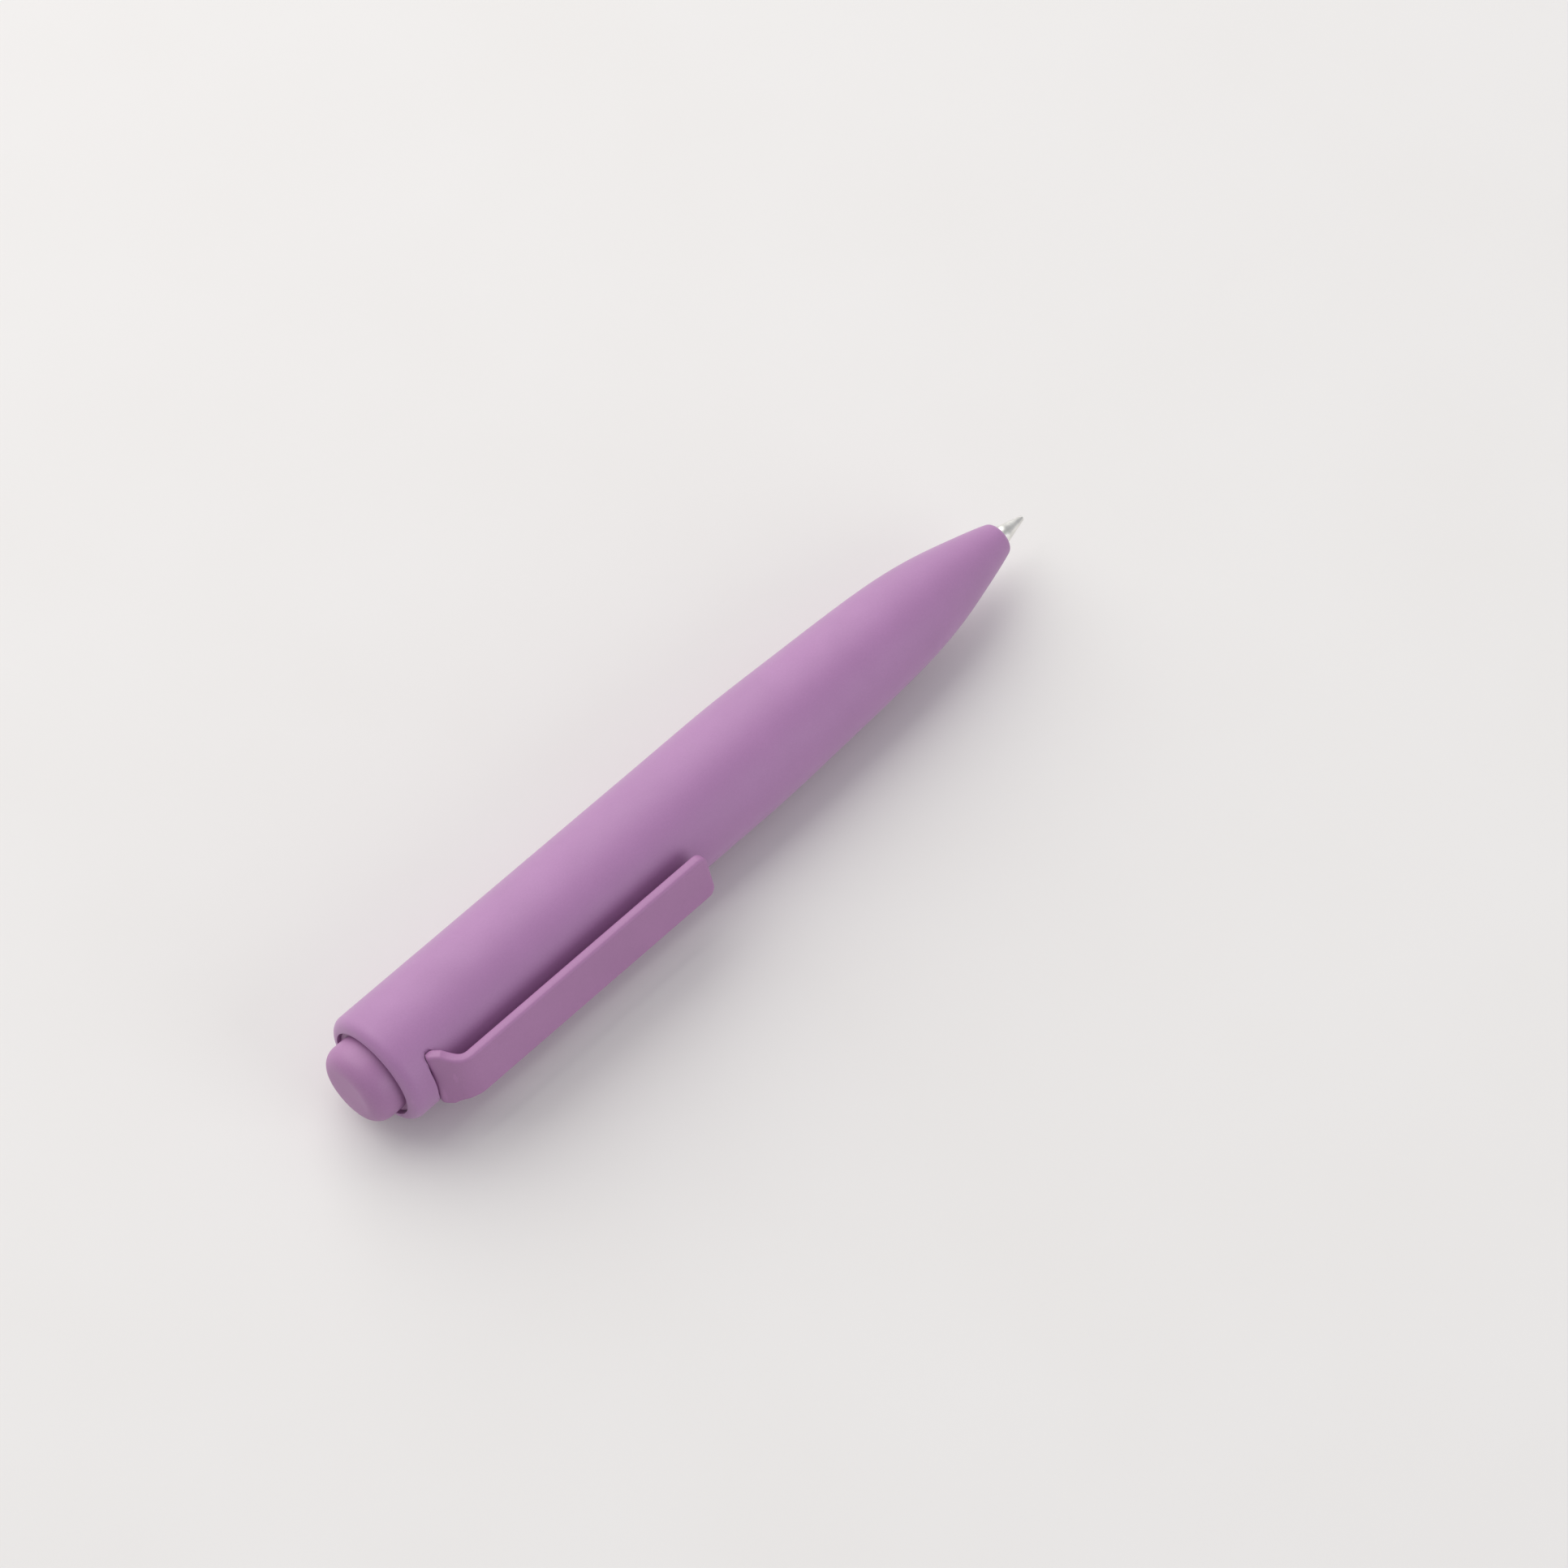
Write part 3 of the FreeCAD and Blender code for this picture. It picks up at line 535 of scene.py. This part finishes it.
def plastic(name, colour, roughness, grain_mm, grain_depth_mm, wear=0.25, **uniform):
    """Moulded plastic: fine grain, uneven sheen, faint clouding and slightly polished edges."""
    material, nodes, links, body = shader(name, colour, roughness, **uniform)
    place = nodes.new("ShaderNodeTexCoord").outputs["Object"]
    cloud = ranged(nodes, links, noise(nodes, links, place, CLOUD_MM), 0.3, 0.7, 0.0, 1.0)
    shade = mixed(nodes, links, cloud, tinted(colour, 0.965), tinted(colour, 1.03))
    speck = ranged(nodes, links, noise(nodes, links, place, grain_mm * 2), 0.35, 0.65, 0.0, 0.22)
    shade = mixed(nodes, links, speck, shade, tinted(colour, 0.82))
    edge = nodes.new("ShaderNodeNewGeometry").outputs["Pointiness"]
    rubbed = ranged(nodes, links, edge, 0.52, 0.60, 0.0, wear)
    shade = mixed(nodes, links, rubbed, shade, tinted(colour, 1.45))
    links.new(shade, body.inputs["Base Color"])
    smear = noise(nodes, links, place, SMEAR_MM, 5.0)
    gloss = ranged(nodes, links, smear, 0.3, 0.7, roughness - 0.05, roughness + 0.05)
    links.new(gloss, body.inputs["Roughness"])
    bump = nodes.new("ShaderNodeBump")
    bump.inputs["Strength"].default_value = 0.5
    bump.inputs["Distance"].default_value = grain_depth_mm * MM
    links.new(noise(nodes, links, place, grain_mm, 2.0), bump.inputs["Height"])
    links.new(bump.outputs["Normal"], body.inputs["Normal"])
    return material


def metal(name, colour, roughness, ring_mm):
    """Turned or drawn metal: fine rings round the axis and slight tarnish."""
    material, nodes, links, body = shader(name, colour, roughness, metallic=1.0)
    place = nodes.new("ShaderNodeTexCoord").outputs["Object"]
    stretch = nodes.new("ShaderNodeMapping")
    stretch.inputs["Scale"].default_value = RING_STRETCH
    links.new(place, stretch.inputs["Vector"])
    rings = noise(nodes, links, stretch.outputs["Vector"], ring_mm, 4.0)
    tarnish = ranged(nodes, links, noise(nodes, links, place, TARNISH_MM), 0.35, 0.65, 0.0, 1.0)
    shade = mixed(nodes, links, tarnish, tinted(colour, 0.90), tinted(colour, 1.05))
    links.new(shade, body.inputs["Base Color"])
    gloss = ranged(nodes, links, rings, 0.3, 0.7, roughness - 0.06, roughness + 0.08)
    links.new(gloss, body.inputs["Roughness"])
    bump = nodes.new("ShaderNodeBump")
    bump.inputs["Strength"].default_value = 0.35
    bump.inputs["Distance"].default_value = METAL_BUMP_MM * MM
    links.new(rings, bump.inputs["Height"])
    links.new(bump.outputs["Normal"], body.inputs["Normal"])
    return material


finishes = {
    "barrel_mauve": plastic("barrel_mauve", MAUVE, 0.52, 0.11, 0.012, wear=0.12,
                            Sheen_Weight=0.22, Sheen_Roughness=0.5, Specular_IOR_Level=0.5),
    "clip_mauve": plastic("clip_mauve", CLIP_MAUVE, 0.46, 0.12, 0.010, wear=0.2,
                          Specular_IOR_Level=0.42),
    "button_mauve": plastic("button_mauve", BUTTON_MAUVE, 0.44, 0.12, 0.010, wear=0.15,
                            Specular_IOR_Level=0.42),
    "white_plastic": plastic("white_plastic", (0.76, 0.76, 0.73), 0.38, 0.15, 0.008),
    "grey_plastic": plastic("grey_plastic", (0.20, 0.20, 0.215), 0.40, 0.15, 0.008),
    "clear_plastic": plastic("clear_plastic", (0.82, 0.86, 0.88), 0.16, 0.30, 0.002, wear=0.05,
                             Transmission_Weight=0.85, IOR=1.49),
    "tip_metal": metal("tip_metal", (0.86, 0.85, 0.81), 0.36, 0.06),
    "ball_metal": metal("ball_metal", (0.66, 0.66, 0.66), 0.16, 0.05),
    "spring_steel": metal("spring_steel", (0.50, 0.50, 0.51), 0.28, 0.10),
    "gel_ink": plastic("gel_ink", (0.012, 0.012, 0.02), 0.20, 0.60, 0.004, wear=0.0),
    "follower_grease": plastic("follower_grease", (0.62, 0.58, 0.36), 0.22, 0.50, 0.006, wear=0.0,
                               Transmission_Weight=0.4, IOR=1.46),
}


def give(piece, slot):
    piece.data.materials.clear()
    piece.data.materials.append(finishes[slot])


for part in frame["record"]["subparts"]:
    give(frame["nodes"][part["node"]], part["material_slot"])

for piece, node, body, slot in (
    (make_barrel(), "barrel", "barrel_body", "barrel_mauve"),
    (make_clip(), "clip", "clip_body", "clip_mauve"),
    (make_button(), "push_button", "button_body", "button_mauve"),
    (make_point(), "point_cone", "refill_body", "tip_metal"),
):
    give(piece, slot)
    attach(piece, body)
    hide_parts(node)

# ---------------- floor, light and camera ----------------

FLOOR_SIZE = 6.0  # metres
PAPER_LIGHT = (0.795, 0.780, 0.765)
PAPER_DARK = (0.785, 0.768, 0.750)
PAPER_MM = 30.0  # size of the paper's clouds
bm = bmesh.new()
bmesh.ops.create_grid(bm, x_segments=2, y_segments=2, size=FLOOR_SIZE / 2)
bmesh.ops.translate(bm, verts=bm.verts, vec=(0, 0, barrel_low.z))
floor_mesh = bpy.data.meshes.new("floor")
bm.to_mesh(floor_mesh)
bm.free()
floor = bpy.data.objects.new("floor", floor_mesh)
bpy.context.scene.collection.objects.link(floor)
paper, nodes, links, body = shader("pale_paper", PAPER_LIGHT, 0.75)
place = nodes.new("ShaderNodeTexCoord").outputs["Object"]
fibre = ranged(nodes, links, noise(nodes, links, place, PAPER_MM), 0.3, 0.7, 0.0, 1.0)
links.new(
    mixed(nodes, links, fibre, PAPER_DARK, PAPER_LIGHT),
    body.inputs["Base Color"],
)
floor.data.materials.append(paper)


def soft_light(name, size, power, place, target, colour=(1, 1, 1)):
    data = bpy.data.lights.new(name, "AREA")
    data.shape = "SQUARE"
    data.size = size
    data.energy = power
    data.color = colour
    lamp = bpy.data.objects.new(name, data)
    lamp.location = place
    lamp.rotation_mode = "QUATERNION"
    lamp.rotation_quaternion = (Vector(place) - Vector(target)).to_track_quat("Z", "Y")
    bpy.context.scene.collection.objects.link(lamp)


SKY_STRENGTH = 0.47

soft_light("window", 1.8, 18.6, (0.05, 0.85, 0.85), (0, 0, 0), (1.0, 0.985, 0.96))
soft_light("side", 0.7, 2.6, (0.30, -0.95, 0.40), (0, 0, 0), (0.97, 0.975, 1.0))

world = bpy.data.worlds.new("studio")
world.use_nodes = True
sky = world.node_tree.nodes["Background"]
sky.inputs["Color"].default_value = (0.95, 0.96, 1.0, 1)
sky.inputs["Strength"].default_value = SKY_STRENGTH
bpy.context.scene.world = world
bpy.context.scene.view_settings.view_transform = "Standard"

CAMERA_AZIMUTH = math.radians(-134.97)
CAMERA_ELEVATION = math.radians(59.5)
CAMERA_DISTANCE = 0.7909
SENSOR_WIDTH = 36  # millimetres
LENS = 149.07
CAMERA_AIM = Vector((7.95 * MM, -6.30 * MM, 0))
away = Vector((
    math.cos(CAMERA_ELEVATION) * math.cos(CAMERA_AZIMUTH),
    math.cos(CAMERA_ELEVATION) * math.sin(CAMERA_AZIMUTH),
    math.sin(CAMERA_ELEVATION),
))
camera_data = bpy.data.cameras.new("camera")
camera_data.sensor_width = SENSOR_WIDTH
camera_data.lens = LENS
camera = bpy.data.objects.new("camera", camera_data)
camera.location = CAMERA_AIM + away * CAMERA_DISTANCE
camera.rotation_mode = "QUATERNION"
camera.rotation_quaternion = away.to_track_quat("Z", "Y")
bpy.context.scene.collection.objects.link(camera)
bpy.context.scene.camera = camera
